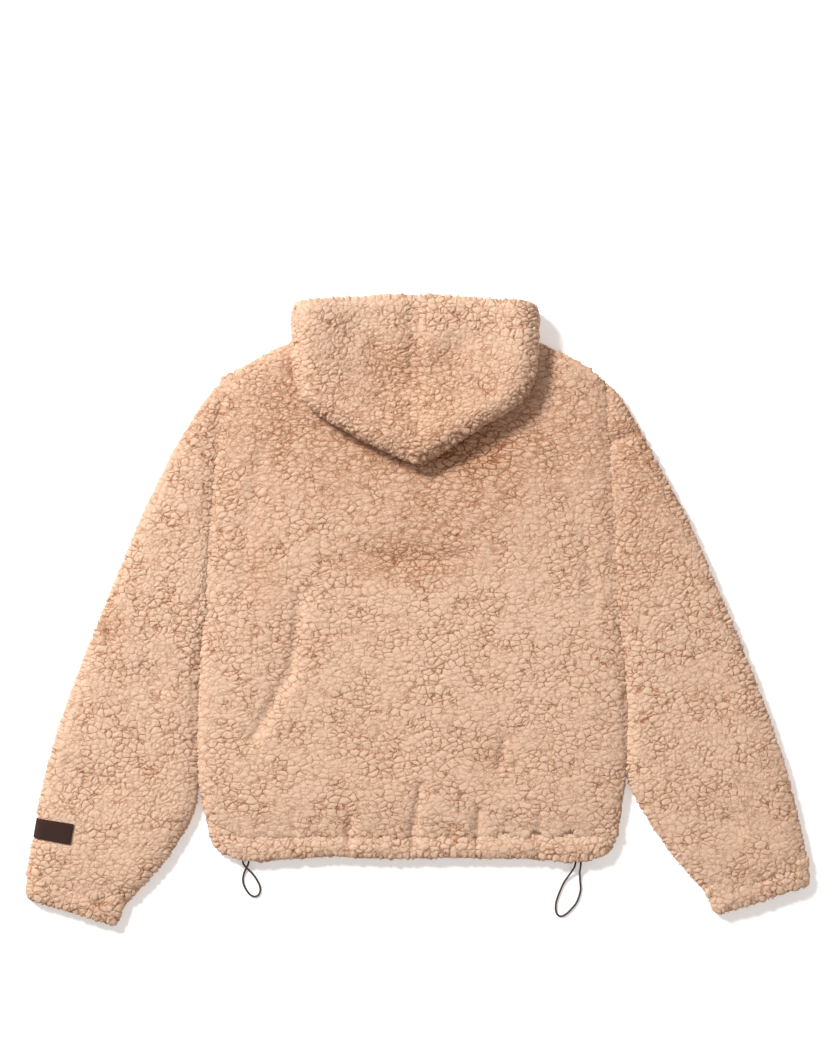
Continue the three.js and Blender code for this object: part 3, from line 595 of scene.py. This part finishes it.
def makeFleecePiece(piece):
    bm = bmesh.new()
    bm.from_mesh(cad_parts[piece["node"]].data)
    bmesh.ops.remove_doubles(bm, verts=bm.verts, dist=surface["weld"])
    kind = bm.faces.layers.int.new("kind")
    sortFaces(bm, kind, [tree for name, tree in solidTrees.items() if name != piece["node"]])
    refine(bm, kind, piece)
    closeSeams(bm, kind)
    weight = bm.verts.layers.float.new("pileWeight")
    for vertex in bm.verts:
        shows = max(face[kind] for face in vertex.link_faces)
        vertex[weight] = min(1, max(0, vertex.co.z / pile["fade"])) if shows >= shownKind else 0
        toPatch = patchTree.find_nearest(vertex.co, patch["reach"])[3]
        if toPatch is not None:
            vertex[weight] *= min(1, max(0, (toPatch - patch["clear"]) / patch["fade"]))
    name = piece["node"] + "_fleece"
    shell = objectFrom(bm, name + "_base")
    shapeFolds(shell.data, piece["node"])
    modifier = shell.modifiers.new("pile", "NODES")
    modifier.node_group = raisePile
    bpy.context.view_layer.update()
    evaluated = shell.evaluated_get(bpy.context.evaluated_depsgraph_get())
    mesh = bpy.data.meshes.new_from_object(evaluated)
    bpy.data.objects.remove(shell)
    mesh.name = name
    keepAboveTable(mesh)
    raised = bpy.data.objects.new(name, mesh)
    bpy.context.collection.objects.link(raised)
    mesh.materials.clear()
    mesh.materials.append(fleece)
    mesh.polygons.foreach_set("use_smooth", [True] * len(mesh.polygons))
    finishPiece(raised, [piece["node"]])
    print(piece["node"], len(mesh.polygons), "faces")
    return raised


# Patch: a plain woven label sewn to the sleeve, with a rounded folded edge
patch = {
    "grain": 1.6 * mm,
    "sizes": (6 * mm, 3 * mm),
    "rib": 2.88 * mm,
    "ribRelief": 0.2 * mm,
    "cloud": 12 * mm,
    "clear": 1.5 * mm,  # around the patch the pile lies flat, then rises again over the fade
    "fade": 4 * mm,
    "reach": 8 * mm,
}


def makePatch():
    bm = bmesh.new()
    bm.from_mesh(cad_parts["sleeve_patch"].data)
    bmesh.ops.remove_doubles(bm, verts=bm.verts, dist=surface["weld"])
    kind = bm.faces.layers.int.new("kind")
    bmesh.ops.join_triangles(bm, faces=bm.faces, angle_face_threshold=0.4, angle_shape_threshold=1.2)
    for size in (*patch["sizes"], patch["grain"]):
        splitLong(bm, kind, (size, size, size, size))
        smooth(bm, bm.verts, 0.3)
    piece = objectFrom(bm, "sleeve_patch_woven")
    piece.data.materials.clear()
    piece.data.materials.append(wovenPatch)
    piece.data.polygons.foreach_set("use_smooth", [True] * len(piece.data.polygons))
    finishPiece(piece, ["sleeve_patch"])
    print("patch", len(piece.data.polygons), "faces")


# Woven polyester damask: fine ribs, dark brown, with a faint gloss
def makeWovenPatch():
    material, tree = newMaterial("wovenPolyesterPatch")
    place = addNode(tree, "ShaderNodeTexCoord").outputs["Object"]
    ribs = addNode(tree, "ShaderNodeTexWave", {"bands_direction": "DIAGONAL"}, {
        "Vector": place, "Scale": 1 / patch["rib"], "Distortion": 0.6, "Detail": 1.0}).outputs["Fac"]
    cloudy = noise(tree, place, patch["cloud"], 3.0)
    # lighter on the raised ribs: painted shade; the cloudy part is the cloth's own uneven tone
    share = maths(tree, "MULTIPLY_ADD", ribs, 0.4, maths(tree, "MULTIPLY", cloudy, 0.6))
    colour = blend(tree, share, linear("#2E1B15"), linear("#3E2922"))
    bump = addNode(tree, "ShaderNodeBump", inputs={
        "Strength": 0.4, "Distance": patch["ribRelief"], "Height": ribs})
    shader = addNode(tree, "ShaderNodeBsdfPrincipled", inputs={
        "Base Color": colour, "Roughness": 0.75, "Specular IOR Level": 0.2,
        "Normal": bump.outputs[0]})
    addNode(tree, "ShaderNodeOutputMaterial", inputs={0: shader.outputs[0]})
    return material


# Floor and light: a white table, a large soft light from the upper left and a pale surround
stage = {
    "tableSize": 6,
    "tableGlow": 0.28,  # lightens the shadows as the photo's white table does
    "surround": 0.42,
    "lamps": [
        {"name": "softKey", "place": (-3.1, 3.2, 3.4), "size": 1.2, "watts": 400},
        {"name": "fill", "place": (1.8, -1.2, 2.6), "size": 2.0, "watts": 6},
    ],
}


def makeStage():
    bm = bmesh.new()
    bmesh.ops.create_grid(bm, x_segments=1, y_segments=1, size=stage["tableSize"])
    floor = objectFrom(bm, "whiteTable")
    material, tree = newMaterial("mattWhiteBoard")
    shader = addNode(tree, "ShaderNodeBsdfPrincipled", inputs={
        "Base Color": linear("#FBFAFA"), "Roughness": 0.9,
        "Emission Color": linear("#FFFFFF"), "Emission Strength": stage["tableGlow"]})
    addNode(tree, "ShaderNodeOutputMaterial", inputs={0: shader.outputs[0]})
    floor.data.materials.append(material)
    world = bpy.data.worlds.new("paleStudio")
    world.use_nodes = True
    background = world.node_tree.nodes["Background"]
    background.inputs[0].default_value = linear("#FFF7F1")
    background.inputs[1].default_value = stage["surround"]
    bpy.context.scene.world = world
    bpy.context.scene.view_settings.view_transform = "Standard"
    for lamp in stage["lamps"]:
        data = bpy.data.lights.new(lamp["name"], "AREA")
        data.shape = "DISK"
        data.size = lamp["size"]
        data.energy = lamp["watts"]
        light = bpy.data.objects.new(lamp["name"], data)
        light.location = lamp["place"]
        light.rotation_euler = (-Vector(lamp["place"])).to_track_quat("-Z", "Y").to_euler()
        bpy.context.collection.objects.link(light)
    print("stage ready")


makeCamera()
braidedCord = makeBraidedCord()
for side in ("left", "right"):
    makeCord(side)
raisePile = makePileNodes()
fleece = makeFleece()
wovenPatch = makeWovenPatch()
patchTree = buildTree("sleeve_patch")
solidTrees = {piece["node"]: buildTree(piece["node"]) for piece in fleecePieces}
for piece in fleecePieces:
    makeFleecePiece(piece)
makePatch()
makeStage()
